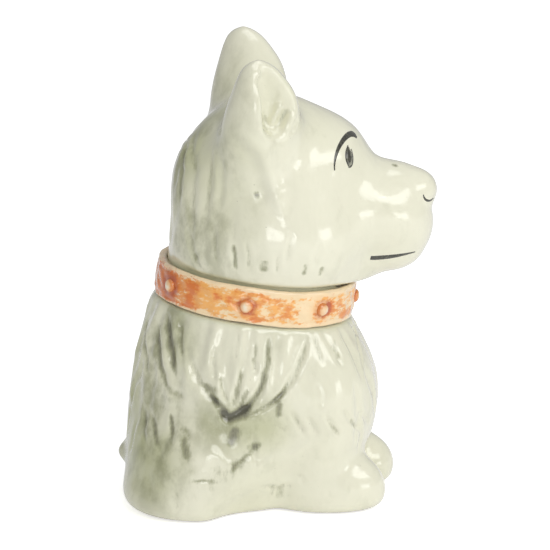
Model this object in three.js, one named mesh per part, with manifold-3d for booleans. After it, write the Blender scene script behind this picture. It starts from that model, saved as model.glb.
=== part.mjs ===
// Ceramic terrier money box: a hollow figure in two castings, joined with slip at the neck,
// with two ears, a strap collar and its studs, and a rubber stopper in the base.
// Millimetres. +Z up, the dog looks along +X, the origin is under the middle of its outline.
import * as THREE from "three";
import { mergeVertices } from "three/addons/utils/BufferGeometryUtils.js";
import Module from "manifold-3d";

const wasm = await Module();
wasm.setup();

// ---- driving dimensions ---------------------------------------------------------------
const WALL = 5; // thickness of the cast clay
const GAP = 0.3; // room left between pieces that touch
const OUTLINE_MIDDLE_X = 8.75; // middle of the figure's length, from the neck's axis
const HEAD_TURN = THREE.MathUtils.degToRad(10); // the head looks a little to the dog's left

const NECK = { x: 0, z: 94.2, lean: THREE.MathUtils.degToRad(6.9), long: 39, wide: 30.6 };
const BAND = { height: 16, thick: 3.6, studRadius: 2.9, studHeight: 2 };
const STUD_TURNS = [-92, -45, 3, 55, 107, 159, 215]; // set by hand, in degrees round the neck
const HOLE = { x: -14, radius: 16, recessRadius: 21.5, recessDepth: 4 };
const SLOT = { length: 36, width: 5, middleZ: 63 };
const EAR = { side: 62 }; // degrees that the opening looks outwards from straight ahead

const GLAZE = { color: 0xe4e4d2, roughness: 0.18, metalness: 0 };
const ORANGE_GLAZE = { color: 0xe8945c, roughness: 0.2, metalness: 0 };
const WHITE_GLAZE = { color: 0xf6efe2, roughness: 0.15, metalness: 0 };
const RUBBER = { color: 0x2f2f30, roughness: 0.75, metalness: 0 };

// ---- soft shapes: distance-like functions, negative inside ------------------------------
// An ellipsoid on centre c with radii r.
function ellipsoid(p, c, r) {
  const q = [(p.x - c[0]) / r[0], (p.y - c[1]) / r[1], (p.z - c[2]) / r[2]];
  const k0 = Math.hypot(...q);
  const k1 = Math.hypot(q[0] / r[0], q[1] / r[1], q[2] / r[2]);
  return k1 === 0 ? -Math.min(...r) : (k0 * (k0 - 1)) / k1;
}

// Union of two shapes with a fillet about k wide.
function blend(a, b, k) {
  const h = Math.max(k - Math.abs(a - b), 0);
  return Math.min(a, b) - (h * h) / (4 * k);
}

// Value at z of a table of [z, value...] rows, by smooth steps between the rows.
function atHeight(table, z) {
  if (z <= table[0][0]) return table[0].slice(1);
  const last = table[table.length - 1];
  if (z >= last[0]) return last.slice(1);
  const i = table.findIndex((row) => row[0] > z);
  const [low, high] = [table[i - 1], table[i]];
  const t = (z - low[0]) / (high[0] - low[0]);
  return low.slice(1).map((value, k) => value + (high[k + 1] - value) * t);
}

// The neck as an endless oval cylinder on its leaning axis.
function neck(p) {
  const [dx, dz] = [p.x - NECK.x, p.z - NECK.z];
  const across = dx * Math.cos(NECK.lean) - dz * Math.sin(NECK.lean);
  return (Math.hypot(across / NECK.long, p.y / NECK.wide) - 1) * NECK.wide;
}

// The trunk's ovals: height, middle x, half length, half width.
const TRUNK = [
  [0, -17, 36, 36],
  [12, -15, 41, 39],
  [28, -9, 47, 41],
  [45, -4, 51, 42],
  [62, -3.5, 49, 40],
  [80, -2, 44.5, 35],
  [98, 0, 40.5, 31],
];
function trunk(p) {
  const [x, long, wide] = atHeight(TRUNK, p.z);
  return (Math.hypot((p.x - x) / long, p.y / wide) - 1) * wide;
}

// Lobes that swell out of a shape, the same on both sides: centre, radii, width of the fillet.
const BODY_LOBES = {
  haunch: [[-21.5, 18, 13], [31.5, 29.5, 34], 10],
  chest: [[31, 5, 44], [21.5, 20, 32], 8],
  foreleg: [[28, 18, 43], [18, 17, 36], 8],
  paw: [[30, 16.5, 8], [27, 15.5, 19.5], 6],
  tail: [[-50.5, 0, 16.5], [9.5, 8, 7], 4],
};
const SKULL = [[5.5, 0, 138], [39, 33, 40]];
const HEAD_LOBES = {
  nape: [[-3.5, 0, 115], [33.5, 32, 34], 8],
  brow: [[28, 0, 149], [21, 22, 19], 8],
  cheek: [[13, 12, 118], [31, 25, 28], 10],
  muzzleRoot: [[44, 0, 127], [25, 21, 22], 10],
  muzzle: [[58, 0, 120.5], [18.5, 17, 20], 8],
  bridge: [[61, 0, 136], [13, 9, 9], 8],
  nose: [[70.2, 0, 134.5], [7.8, 8.5, 7.6], 5],
  jaw: [[53, 0, 108], [16, 13, 8], 6],
  throat: [[29, 0, 103], [22, 21, 14], 8],
};
const NECK_FILLET = 6;
const FOOT_ROUND = 7; // how far up the edge of the foot is rounded off

function withLobes(core, lobes, p) {
  const q = { x: p.x, y: Math.abs(p.y), z: p.z };
  const swell = (d, [centre, radii, fillet]) => blend(d, ellipsoid(q, centre, radii), fillet);
  return Object.values(lobes).reduce(swell, core);
}

// The lower casting: trunk, haunches, chest, forelegs, paws and tail on a flat foot.
function bodyShape(p) {
  let d = withLobes(trunk(p), BODY_LOBES, p);
  if (p.z > 70) d = blend(d, neck(p), NECK_FILLET);
  return -blend(-d, p.z, FOOT_ROUND);
}

// The upper casting: skull, cheeks, muzzle, nose, jaw and throat over the neck.
function headShape(p) {
  const d = withLobes(ellipsoid({ x: p.x, y: Math.abs(p.y), z: p.z }, ...SKULL), HEAD_LOBES, p);
  return p.z < 112 ? blend(d, neck(p), NECK_FILLET) : d;
}

// ---- from shapes to meshes ----------------------------------------------------------------
// Skin of a shape, as a sphere whose every vertex is moved along its own ray from centre to
// the outermost place where the shape equals level. pole is the axis that the rows close on.
function skin(shape, centre, level, columns, rows, pole = "z") {
  const sphere = new THREE.SphereGeometry(1, columns, rows);
  if (pole === "z") sphere.rotateX(Math.PI / 2);
  else sphere.rotateZ(-Math.PI / 2);
  const ray = new THREE.Vector3();
  const at = new THREE.Vector3();
  const start = new THREE.Vector3(...centre);
  const reach = 120;
  const step = 2;
  const value = (r) => shape(at.copy(start).addScaledVector(ray, r)) - level;
  const place = sphere.attributes.position;
  for (let i = 0; i < place.count; i++) {
    ray.fromBufferAttribute(place, i).normalize();
    let outside = reach;
    while (outside > step && value(outside - step) > 0) outside -= step;
    let inside = Math.max(outside - step, 0);
    for (let k = 0; k < 24; k++) {
      const middle = (inside + outside) / 2;
      if (value(middle) > 0) outside = middle;
      else inside = middle;
    }
    at.copy(start).addScaledVector(ray, inside);
    if (Math.abs(at.z) < 0.02) at.z = 0; // the foot is truly flat
    place.setXYZ(i, at.x, at.y, at.z);
  }
  return solid(sphere);
}

// A three.js geometry as a solid.
function solid(geometry) {
  const bare = geometry.clone();
  bare.deleteAttribute("normal");
  bare.deleteAttribute("uv");
  const merged = mergeVertices(bare, 1e-4);
  const vertProperties = new Float32Array(merged.attributes.position.array);
  const triVerts = new Uint32Array(merged.index.array);
  const made = new wasm.Manifold(new wasm.Mesh({ numProp: 3, vertProperties, triVerts }));
  if (made.volume() <= 0) throw new Error("a geometry is inside out");
  return made;
}

// A solid's surface as a three.js geometry.
function surface(part) {
  const { vertProperties, triVerts } = part.getMesh();
  const geometry = new THREE.BufferGeometry();
  geometry.setAttribute("position", new THREE.BufferAttribute(vertProperties, 3));
  geometry.setIndex(new THREE.BufferAttribute(triVerts, 1));
  return geometry;
}

// A solid as a three.js mesh in the bank's own frame, without the specks of a thousandth of a
// millimetre that the cuts leave beside it.
function meshOf(name, part, finish) {
  let whole = part.translate([-OUTLINE_MIDDLE_X, 0, 0]);
  for (let pass = 0; pass < 3; pass++) {
    const merged = mergeVertices(surface(whole), 1e-3);
    const vertProperties = merged.attributes.position.array;
    const triVerts = new Uint32Array(merged.index.array);
    const rounded = new wasm.Manifold(new wasm.Mesh({ numProp: 3, vertProperties, triVerts }));
    whole = rounded.decompose().sort((a, b) => b.volume() - a.volume())[0];
  }
  const geometry = surface(whole);
  geometry.computeVertexNormals();
  const made = new THREE.Mesh(geometry, new THREE.MeshStandardMaterial(finish));
  made.name = name;
  return made;
}

// An upright solid with an oval plan, standing on z = 0.
function ovalPrism(long, wide, height, segments = 32) {
  const outline = new THREE.Shape().absellipse(0, 0, long, wide, 0, 2 * Math.PI);
  return new THREE.ExtrudeGeometry(outline, { depth: height, bevelEnabled: false, curveSegments: segments });
}

// Turns a geometry made about z = 0 onto the neck's leaning axis.
function ontoNeck(geometry) {
  return geometry.rotateY(NECK.lean).translate(NECK.x, 0, NECK.z);
}

// ---- the castings ----------------------------------------------------------------------
// The collar sits round an oval seat, in a space of its own height and a little more.
const spaceHeight = BAND.height + 2 * GAP;
const bandSpace = solid(ontoNeck(ovalPrism(70, 60, spaceHeight).translate(0, 0, -spaceHeight / 2)));
const seatHeight = spaceHeight + 5; // its ends are buried in the clay above and below
const seat = solid(ontoNeck(ovalPrism(NECK.long, NECK.wide, seatHeight).translate(0, 0, -seatHeight / 2)));
const aboveJoint = solid(ontoNeck(ovalPrism(200, 200, 200, 8).translate(0, 0, GAP / 2)));
const belowJoint = solid(ontoNeck(ovalPrism(200, 200, 200, 8).translate(0, 0, -200 - GAP / 2)));
const neckBore = solid(ontoNeck(ovalPrism(NECK.long - WALL, NECK.wide - WALL, 50, 20).translate(0, 0, -25)));

function bodyCasting() {
  const outside = skin(bodyShape, [-6, 0, 42], 0, 48, 34);
  const inside = skin(bodyShape, [-6, 0, 46], -WALL, 26, 16).add(neckBore);
  const recess = solid(
    new THREE.CylinderGeometry(HOLE.recessRadius, HOLE.recessRadius, 2 * HOLE.recessDepth, 40)
      .rotateX(Math.PI / 2)
      .translate(HOLE.x, 0, 0),
  );
  // the clay under the hollow is thicker around the hole, so that the stopper has a wall to grip
  const boss = solid(new THREE.CylinderGeometry(22, 22, 9, 40).rotateX(Math.PI / 2).translate(HOLE.x, 0, 4.5));
  const hole = solid(
    new THREE.CylinderGeometry(HOLE.radius, HOLE.radius, 40, 40).rotateX(Math.PI / 2).translate(HOLE.x, 0, 0),
  );
  return outside
    .subtract(bandSpace)
    .add(seat)
    .intersect(belowJoint)
    .subtract(inside.subtract(boss))
    .subtract(recess)
    .subtract(hole)
    .subtract(coinSlot());
}

// The slot runs down the middle of the back, with round ends.
function coinSlot() {
  const half = SLOT.length / 2 - SLOT.width / 2;
  const outline = new THREE.Shape();
  outline.absarc(0, half, SLOT.width / 2, 0, Math.PI);
  outline.absarc(0, -half, SLOT.width / 2, Math.PI, 2 * Math.PI);
  const depth = 34;
  const cut = new THREE.ExtrudeGeometry(outline, { depth, bevelEnabled: false, curveSegments: 8 });
  return solid(cut.rotateX(Math.PI / 2).rotateZ(Math.PI / 2).translate(-70, 0, SLOT.middleZ));
}

const turnHead = (part) => part.rotate([0, 0, THREE.MathUtils.radToDeg(HEAD_TURN)]);
const headCentre = [6, 0, 128];

function headCasting() {
  const outside = turnHead(skin(headShape, headCentre, 0, 44, 38, "x"));
  const inside = turnHead(skin(headShape, headCentre, -WALL, 24, 18, "x")).add(neckBore);
  return outside.subtract(bandSpace).add(seat).intersect(aboveJoint).subtract(inside);
}

// ---- the ears ----------------------------------------------------------------------------
// The ear's oval sections: height, middle x, how far out, half chord, half depth.
const BLADE = [
  [136, -1, 12, 5, 5],
  [148, -1, 17, 14, 12],
  [160, -1, 21, 17.5, 15],
  [172, 0, 24.5, 17, 15],
  [181.4, 0.5, 26.7, 15.2, 13.2],
  [186, 0.4, 27.8, 13.6, 11.6],
  [190.6, -0.4, 28.8, 11.4, 9.3],
  [195, -1.2, 29.6, 8.8, 7],
  [198, -1.8, 30.1, 6.4, 5],
  [200, -2.2, 30.5, 0.01, 0.01],
];
// The cup in its front: height, half chord, half depth, shift along the chord, shift forwards.
const CUP = [
  [158, 0.01, 0.01, 4, 16],
  [161, 6, 5, 4, 15],
  [165, 10, 8, 4, 14],
  [172, 11, 10, 4.2, 12.5],
  [180, 10, 10, 4, 10],
  [187, 8, 8, 3, 7.5],
  [193, 5, 5.5, 1.6, 5],
  [197.5, 0.01, 0.01, 0, 2],
];
const bladeAt = (z) => atHeight(BLADE, z);
const look = THREE.MathUtils.degToRad(EAR.side);
function cupAt(z) {
  const [x, out] = bladeAt(z);
  const [chord, deep, shift, forth] = atHeight(CUP, z);
  return [
    x + forth * Math.cos(look) + shift * Math.sin(look),
    out + forth * Math.sin(look) - shift * Math.cos(look),
    chord,
    deep,
  ];
}

// A closed solid through oval sections from low to high; side is +1 for the dog's left.
function earSolid(sectionAt, low, high, side, columns, rows) {
  const sphere = new THREE.SphereGeometry(1, columns, rows).rotateX(Math.PI / 2);
  const place = sphere.attributes.position;
  for (let i = 0; i < place.count; i++) {
    const [sx, sy, sz] = [place.getX(i), place.getY(i), place.getZ(i)];
    const z = low + (high - low) * (1 - Math.acos(THREE.MathUtils.clamp(sz, -1, 1)) / Math.PI);
    const [x, out, chord, deep] = sectionAt(z);
    const round = Math.hypot(sx, sy) || 1;
    const open = Math.abs(sz) > 0.9999 ? 0 : 1;
    const ahead = (deep * open * sx) / round;
    const along = (chord * open * sy) / round;
    place.setXYZ(
      i,
      x + ahead * Math.cos(look) - along * Math.sin(look),
      side * (out + ahead * Math.sin(look) + along * Math.cos(look)),
      z,
    );
  }
  if (side < 0) reverse(sphere);
  return solid(sphere);
}

// Turns every face of an indexed geometry round.
function reverse(geometry) {
  const faces = geometry.index.array;
  for (let i = 0; i < faces.length; i += 3) [faces[i + 1], faces[i + 2]] = [faces[i + 2], faces[i + 1]];
}

function ear(side, skull) {
  const blade = earSolid(bladeAt, BLADE[0][0], BLADE[BLADE.length - 1][0], side, 24, 18);
  const cup = earSolid(cupAt, CUP[0][0], CUP[CUP.length - 1][0], side, 20, 14);
  const parts = turnHead(blade.subtract(cup)).subtract(skull).decompose();
  return parts.sort((a, b) => b.volume() - a.volume())[0];
}

// ---- the collar ----------------------------------------------------------------------------
function band() {
  const outer = ovalPrism(NECK.long + GAP + BAND.thick, NECK.wide + GAP + BAND.thick, BAND.height);
  const inner = ovalPrism(NECK.long + GAP, NECK.wide + GAP, BAND.height + 2);
  const ring = solid(outer.translate(0, 0, -BAND.height / 2));
  return ring.subtract(solid(inner.translate(0, 0, -BAND.height / 2 - 1)));
}

// A low dome pressed onto the band at an angle round the neck.
function stud(turn) {
  const [long, wide] = [NECK.long + GAP + BAND.thick, NECK.wide + GAP + BAND.thick];
  const [x, y] = [long * Math.cos(turn), wide * Math.sin(turn)];
  const facing = Math.atan2(y / wide / wide, x / long / long);
  const dome = new THREE.SphereGeometry(1, 12, 8).scale(BAND.studHeight + 1, BAND.studRadius, BAND.studRadius);
  return solid(dome.rotateZ(facing).translate(x, y, 0)).subtract(solidBand);
}

function onNeck(part) {
  return part.rotate([0, THREE.MathUtils.radToDeg(NECK.lean), 0]).translate([NECK.x, 0, NECK.z]);
}

const solidBand = solid(
  ovalPrism(NECK.long + BAND.thick + 2 * GAP, NECK.wide + BAND.thick + 2 * GAP, 24).translate(0, 0, -12),
);

// ---- the stopper -------------------------------------------------------------------------
// A hollow plug with a flange that seats in the recess, and a bar to pull it by.
function stopper() {
  const seatZ = HOLE.recessDepth - GAP;
  const profile = [
    [0, 8.5],
    [12, 8.5],
    [13, 1.5],
    [20, 1.5],
    [20.6, 2.1],
    [20.6, seatZ - 0.5],
    [20, seatZ],
    [HOLE.radius - GAP, seatZ],
    [HOLE.radius - GAP, 9],
    [HOLE.radius - 1.6, 11.5],
    [0, 11.5],
  ].map(([r, z]) => new THREE.Vector2(r, z));
  const plug = solid(new THREE.LatheGeometry(profile, 40).rotateX(Math.PI / 2));
  const bar = solid(new THREE.BoxGeometry(26, 3, 7.2).translate(0, 0, 5.4));
  return plug.add(bar).translate([HOLE.x, 0, 0]);
}

// ---- the assembly ------------------------------------------------------------------------
const bank = new THREE.Group();
const head = headCasting();
const skull = turnHead(skin(headShape, headCentre, GAP, 44, 38, "x"));
bank.add(meshOf("body_casting", bodyCasting(), GLAZE));
bank.add(meshOf("head_casting", head, GLAZE));
bank.add(meshOf("ear_left", ear(1, skull), GLAZE));
bank.add(meshOf("ear_right", ear(-1, skull), GLAZE));
bank.add(meshOf("collar_band", onNeck(band()), ORANGE_GLAZE));
STUD_TURNS.forEach((turn, i) => {
  const dome = stud(THREE.MathUtils.degToRad(turn));
  bank.add(meshOf(`collar_stud_${i + 1}`, onNeck(dome), WHITE_GLAZE));
});
bank.add(meshOf("stopper", stopper(), RUBBER));

export default bank;
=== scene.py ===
# Ceramic terrier money box: glazed figure, orange collar with studs, rubber stopper.
# Shapes are worked out in millimetres round the neck's axis, then put in the frame's metres.
import math
import bpy
import numpy as np
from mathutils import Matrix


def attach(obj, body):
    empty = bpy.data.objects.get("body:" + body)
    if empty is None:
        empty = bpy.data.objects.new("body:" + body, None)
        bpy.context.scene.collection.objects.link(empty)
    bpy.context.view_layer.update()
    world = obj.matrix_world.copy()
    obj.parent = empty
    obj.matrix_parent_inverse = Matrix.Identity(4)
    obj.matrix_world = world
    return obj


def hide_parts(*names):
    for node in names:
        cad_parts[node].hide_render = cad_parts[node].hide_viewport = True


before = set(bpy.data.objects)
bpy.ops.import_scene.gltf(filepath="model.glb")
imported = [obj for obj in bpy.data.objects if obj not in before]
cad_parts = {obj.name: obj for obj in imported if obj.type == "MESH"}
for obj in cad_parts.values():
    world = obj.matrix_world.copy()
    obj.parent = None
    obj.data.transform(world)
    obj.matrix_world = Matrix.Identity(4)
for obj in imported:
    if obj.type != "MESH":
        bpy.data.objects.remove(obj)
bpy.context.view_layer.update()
print("stage 1: frame loaded")

outlineMiddle = 8.75  # mm from the neck's axis to the frame's origin, along x
neck = {"x": 0.0, "z": 94.2, "lean": math.radians(6.9), "long": 39.0, "wide": 30.6}
headTurn = math.radians(10)  # the head looks a little to the dog's left
bandHalf = 8.0  # half the collar's height
seatEdge = bandHalf + 0.3  # how far from the neck's middle the castings draw in to the collar's seat
seatJoint = 0.15  # half the gap between the two castings, under the collar


# Puts points (mm, neck frame) and faces into a mesh object that rides on a body.
def putMesh(name, points, faces, material, body="root", nodes=()):
    mesh = bpy.data.meshes.new(name)
    placed = (np.asarray(points) - [outlineMiddle, 0, 0]) / 1000
    mesh.from_pydata(placed.tolist(), [], faces.tolist() if hasattr(faces, "tolist") else faces)
    mesh.update()
    mesh.polygons.foreach_set("use_smooth", np.ones(len(mesh.polygons), bool))
    piece = bpy.data.objects.new(name, mesh)
    bpy.context.scene.collection.objects.link(piece)
    piece.data.materials.append(material)
    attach(piece, body)
    if nodes:
        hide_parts(*nodes)
    return piece


# Stores one number per vertex, which the material reads.
def putLayer(piece, name, values):
    layer = piece.data.attributes.new(name, "FLOAT", "POINT")
    layer.data.foreach_set("value", np.asarray(values, np.float32))


# Quads of a grid of rows by columns, closed round the columns and, if asked, round the rows.
def gridFaces(rows, columns, closeRows=False):
    i, j = np.meshgrid(np.arange(rows if closeRows else rows - 1), np.arange(columns), indexing="ij")
    up, on = (i + 1) % rows, (j + 1) % columns
    quads = [i * columns + j, i * columns + on, up * columns + on, up * columns + j]
    return np.stack(quads, -1).reshape(-1, 4)


# Points turned round the upright axis.
def turned(points, angle):
    c, s = math.cos(angle), math.sin(angle)
    x, y, z = points[..., 0], points[..., 1], points[..., 2]
    return np.stack([c * x - s * y, s * x + c * y, z], -1)


# The soft shapes that follow are distance-like values at many points, negative inside.
# Ellipsoid on a centre with three radii: k0 (k0 - 1) / k1, k0 the scaled radius.
def ellipsoid(p, centre, radii):
    q = [(p[..., i] - centre[i]) / radii[i] for i in range(3)]
    k0 = np.sqrt(q[0] ** 2 + q[1] ** 2 + q[2] ** 2)
    k1 = np.sqrt((q[0] / radii[0]) ** 2 + (q[1] / radii[1]) ** 2 + (q[2] / radii[2]) ** 2)
    return k0 * (k0 - 1) / np.maximum(k1, 1e-9)


# Union of two shapes with a fillet about k wide.
def blend(a, b, k):
    h = np.maximum(k - np.abs(a - b), 0)
    return np.minimum(a, b) - h * h / (4 * k)


# The part that two shapes share, with its edge rounded about k wide.
def shared(a, b, k):
    return -blend(-a, -b, k)


# A shape with a list of ellipsoids added: centre, radii and fillet of each.
def withLobes(d, p, lobes):
    for centre, radii, fillet in lobes:
        d = blend(d, ellipsoid(p, centre, radii), fillet)
    return d


# Height above the plane through the neck's middle, square to its leaning axis.
def overNeck(p):
    dx, dz = p[..., 0] - neck["x"], p[..., 2] - neck["z"]
    return dx * math.sin(neck["lean"]) + dz * math.cos(neck["lean"])


# Endless oval cylinder on the neck's axis, grown outwards by grow.
def neckOval(p, grow=0.0):
    dx, dz = p[..., 0] - neck["x"], p[..., 2] - neck["z"]
    along = dx * math.cos(neck["lean"]) - dz * math.sin(neck["lean"])
    long, wide = neck["long"] + grow, neck["wide"] + grow
    return (np.hypot(along / long, p[..., 1] / wide) - 1) * wide


# Both sides of the figure folded on one.
def mirrored(p):
    return np.stack([p[..., 0], np.abs(p[..., 1]), p[..., 2]], -1)


# Closed mesh where shape is zero: one point in each cell of a cubic lattice that the surface
# crosses, at the mean of its edge crossings, then moved onto the surface along the slope.
def skinOf(shape, low, high, step):
    axes = [np.arange(low[i], high[i] + step, step) for i in range(3)]
    count = [len(a) for a in axes]
    value = np.empty(count, np.float32)
    for i, x in enumerate(axes[0]):
        yy, zz = np.meshgrid(axes[1], axes[2], indexing="ij")
        value[i] = shape(np.stack([np.full_like(yy, x), yy, zz], -1))
    inside = value < 0
    total = np.zeros([n - 1 for n in count] + [3], np.float32)
    hits = np.zeros([n - 1 for n in count], np.float32)
    for axis in range(3):
        others = [a for a in range(3) if a != axis]
        a = np.moveaxis(value, axis, 0)
        cross = (a[:-1] < 0) != (a[1:] < 0)
        part = np.where(cross, a[:-1] / np.where(cross, a[:-1] - a[1:], 1), 0)
        cross, part = np.moveaxis(cross, 0, axis), np.moveaxis(part, 0, axis)
        for da in (0, 1):
            for db in (0, 1):
                pick = [slice(None)] * 3
                pick[others[0]] = slice(da, count[others[0]] - 1 + da)
                pick[others[1]] = slice(db, count[others[1]] - 1 + db)
                here, along = cross[tuple(pick)], part[tuple(pick)]
                hits += here
                total[..., axis] += along
                total[..., others[0]] += here * da
                total[..., others[1]] += here * db
    cells = np.argwhere(hits > 0)
    number = np.full(hits.shape, -1, np.int64)
    number[hits > 0] = np.arange(len(cells))
    points = cells + total[hits > 0] / hits[hits > 0][:, None]
    points = points * step + np.asarray(low, float)
    faces = []
    for axis in range(3):
        b, c = (axis + 1) % 3, (axis + 2) % 3
        v = np.moveaxis(inside, (axis, b, c), (0, 1, 2))
        n = np.moveaxis(number, (axis, b, c), (0, 1, 2))
        change = v[:-1, 1:-1, 1:-1] != v[1:, 1:-1, 1:-1]
        i, j, k = np.nonzero(change)
        j, k = j + 1, k + 1
        quad = np.stack([n[i, j - 1, k - 1], n[i, j, k - 1], n[i, j, k], n[i, j - 1, k]], -1)
        leaving = v[i, j, k]
        faces.append(np.where(leaving[:, None], quad, quad[:, ::-1]))
    for _ in range(3):
        slope = slopeOf(shape, points)
        move = shape(points)[:, None] * slope / np.maximum((slope**2).sum(1), 0.05)[:, None]
        points = points - np.clip(move, -step / 2, step / 2)
    return points, np.concatenate(faces)


# Slope of a shape from its values a little way off on both sides along each axis.
def slopeOf(shape, points):
    reach = 0.3
    steps = np.eye(3) * reach
    return np.stack([shape(points + s) - shape(points - s) for s in steps], -1) / (2 * reach)


# Outward directions: the slope with its length made one.
def normalsOf(shape, points):
    slope = slopeOf(shape, points)
    return slope / np.maximum(np.linalg.norm(slope, axis=1), 1e-9)[:, None]


# 1 on the outer skin of the clay, 0 on the inner one, from the outer form's values.
def outerSkin(form):
    return np.clip((form + 2.2) / 1.6, 0, 1)


# How far out a form reaches at x, z, seen square from the side: the interval halved 26 times.
def sideOut(form, x, z):
    low, high = np.zeros(np.shape(x)), np.full(np.shape(x), 60.0)
    for _ in range(26):
        middle = (low + high) / 2
        inside = form(np.stack([x, middle, z], -1)) < 0
        low, high = np.where(inside, middle, low), np.where(inside, high, middle)
    return low


# Chart of a form: s runs round it from the side (0) to the front (+) and the back (-), z up, in mm.
def chartOf(p, piece):
    turn = np.arctan2(p[..., 0] - piece["chartX"], np.abs(p[..., 1]))
    return np.stack([piece["chartRadius"] * turn, p[..., 2]], -1)


# Strokes given as (half width, depth, darkness, then x and z of their points seen from the side),
# put into a form's chart.
def charted(strokes, form, piece):
    ready = []
    for width, depth, dark, *line in strokes:
        x, z = np.array(line, float).T
        ready.append((chartOf(np.stack([x, sideOut(form, x, z), z], -1), piece), width, depth, dark))
    return ready


# How deep and how dark a set of strokes is at chart points (s round the figure, z up).
# A stroke is a line through points; its groove is a bell across it, with a low rim on both sides,
# and fades at both ends. strokes: list of (points, half width, depth, darkness).
def carve(chart, strokes):
    height, shade = np.zeros(len(chart)), np.zeros(len(chart))
    for line, width, depth, dark in strokes:
        line = np.asarray(line, float)
        low, high = line.min(0) - 4 * width, line.max(0) + 4 * width
        near = np.nonzero(((chart > low) & (chart < high)).all(1))[0]
        if not len(near):
            continue
        p = chart[near]
        ends = np.concatenate([[0], np.cumsum(np.hypot(*np.diff(line, axis=0).T))])
        best = np.full(len(p), 1e9)
        where = np.zeros(len(p))
        for a, b, start, end in zip(line[:-1], line[1:], ends[:-1], ends[1:]):
            t = np.clip(((p - a) @ (b - a)) / max((b - a) @ (b - a), 1e-9), 0, 1)
            away = np.hypot(*(p - a - t[:, None] * (b - a)).T)
            closer = away < best
            best = np.where(closer, away, best)
            where = np.where(closer, (start + t * (end - start)) / ends[-1], where)
        fade = np.clip(np.sin(np.pi * np.clip(where, 0.02, 0.98)) * 1.6, 0, 1)
        across = best / (width * (0.45 + 0.55 * fade))
        groove = np.exp(-(across**2))
        rim = 0.24 * np.exp(-((across - 2) ** 2) * 1.2)
        height[near] += depth * fade * (rim - groove)
        shade[near] += dark * fade * np.exp(-((across / 1.2) ** 2))
    return height, shade


# Table of rows (height, values...) made smooth: straight runs, then a running mean along height.
def smoothRows(rows, spread):
    rows = np.asarray(rows, float)
    z = np.arange(rows[0, 0], rows[-1, 0] + 0.25, 0.25)
    window = np.hanning(int(spread * 8) + 3)
    window /= window.sum()
    half = len(window) // 2
    columns = []
    for k in range(1, rows.shape[1]):
        v = np.interp(z, rows[:, 0], rows[:, k])
        padded = np.concatenate([np.full(half, v[0]), v, np.full(half, v[-1])])
        columns.append(np.convolve(padded, window, "valid"))
    return z, columns


# What a smoothed table says at heights z.
def rowsAt(table, z):
    return [np.interp(z, table[0], column) for column in table[1]]


# A node material in the making: add a node, set its sockets, link what is linked.
class Finish:
    def __init__(self, name, roughness, **shader):
        self.material = bpy.data.materials.new(name)
        self.material.use_nodes = True
        self.tree = self.material.node_tree
        self.shader = self.tree.nodes["Principled BSDF"]
        self.shader.inputs["Roughness"].default_value = roughness
        for key, value in shader.items():
            self.shader.inputs[key.replace("_", " ")].default_value = value

    def add(self, kind, inputs=(), **settings):
        node = self.tree.nodes.new(kind)
        for key, value in settings.items():
            setattr(node, key, value)
        for key, value in dict(inputs).items():
            socket = node.inputs[key]
            if isinstance(value, bpy.types.NodeSocket):
                self.tree.links.new(value, socket)
            else:
                socket.default_value = value
        return node

    # A number that the mesh stores at each point.
    def layer(self, name):
        return self.add("ShaderNodeAttribute", attribute_name=name).outputs["Fac"]

    def place(self, scale):
        where = self.add("ShaderNodeTexCoord").outputs["Object"]
        return self.add("ShaderNodeMapping", {"Vector": where, "Scale": scale}).outputs["Vector"]

    # Cloudy noise, 0 to 1, on the piece's own coordinates.
    def noise(self, scale, stretch=(1, 1, 1), detail=3.0, rough=0.5, seed=0.0):
        inputs = {"Vector": self.place(stretch), "Scale": scale, "Detail": detail}
        inputs |= {"Roughness": rough, "W": seed}
        return self.add("ShaderNodeTexNoise", inputs, noise_dimensions="4D").outputs["Fac"]

    def maths(self, operation, a, b, clamp=False):
        return self.add("ShaderNodeMath", {0: a, 1: b}, operation=operation, use_clamp=clamp).outputs[0]

    def plus(self, a, b):
        return self.maths("ADD", a, b)

    def minus(self, a, b, clamp=False):
        return self.maths("SUBTRACT", a, b, clamp)

    def times(self, a, b, clamp=False):
        return self.maths("MULTIPLY", a, b, clamp)

    # How far a value has gone from low to high, 0 to 1, smoothly.
    def between(self, value, low, high):
        node = self.add("ShaderNodeMapRange", {"Value": value, "From Min": low, "From Max": high},
                        interpolation_type="SMOOTHSTEP")
        return node.outputs["Result"]

    # Colour between first (amount 0) and second (amount 1).
    def mix(self, amount, first, second):
        node = self.add("ShaderNodeMix", data_type="RGBA")
        for key, value in ((0, amount), (6, first), (7, second)):
            if isinstance(value, bpy.types.NodeSocket):
                self.tree.links.new(value, node.inputs[key])
            else:
                node.inputs[key].default_value = value if key == 0 else (*value, 1)
        return node.outputs[2]

    def feed(self, key, value):
        self.tree.links.new(value, self.shader.inputs[key])

    def bump(self, height, distance):
        node = self.add("ShaderNodeBump", {"Height": height, "Distance": distance, "Strength": 1.0})
        self.feed("Normal", node.outputs["Normal"])


clay = {
    "cream": (0.865, 0.85, 0.68), "olive": (0.47, 0.485, 0.265), "wash": (0.31, 0.315, 0.175),
    "deep": (0.19, 0.185, 0.115), "soot": (0.085, 0.082, 0.05), "halo": (0.55, 0.62, 0.45),
    "bisque": (0.74, 0.70, 0.60), "grit": (0.55, 0.5, 0.42),
}
strapGlaze = {"amber": (0.95, 0.46, 0.11), "red": (0.77, 0.20, 0.025), "rust": (0.45, 0.075, 0.014),
              "worn": (0.97, 0.77, 0.48), "rim": (0.93, 0.74, 0.49)}
studColoursAndHighlight = {"foot": (0.74, 0.24, 0.05), "side": (0.92, 0.60, 0.32), "crown": (0.93, 0.84, 0.65)}
gloss = {"Coat_Weight": 0.9, "Coat_Roughness": 0.03, "Coat_IOR": 1.55}
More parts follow.
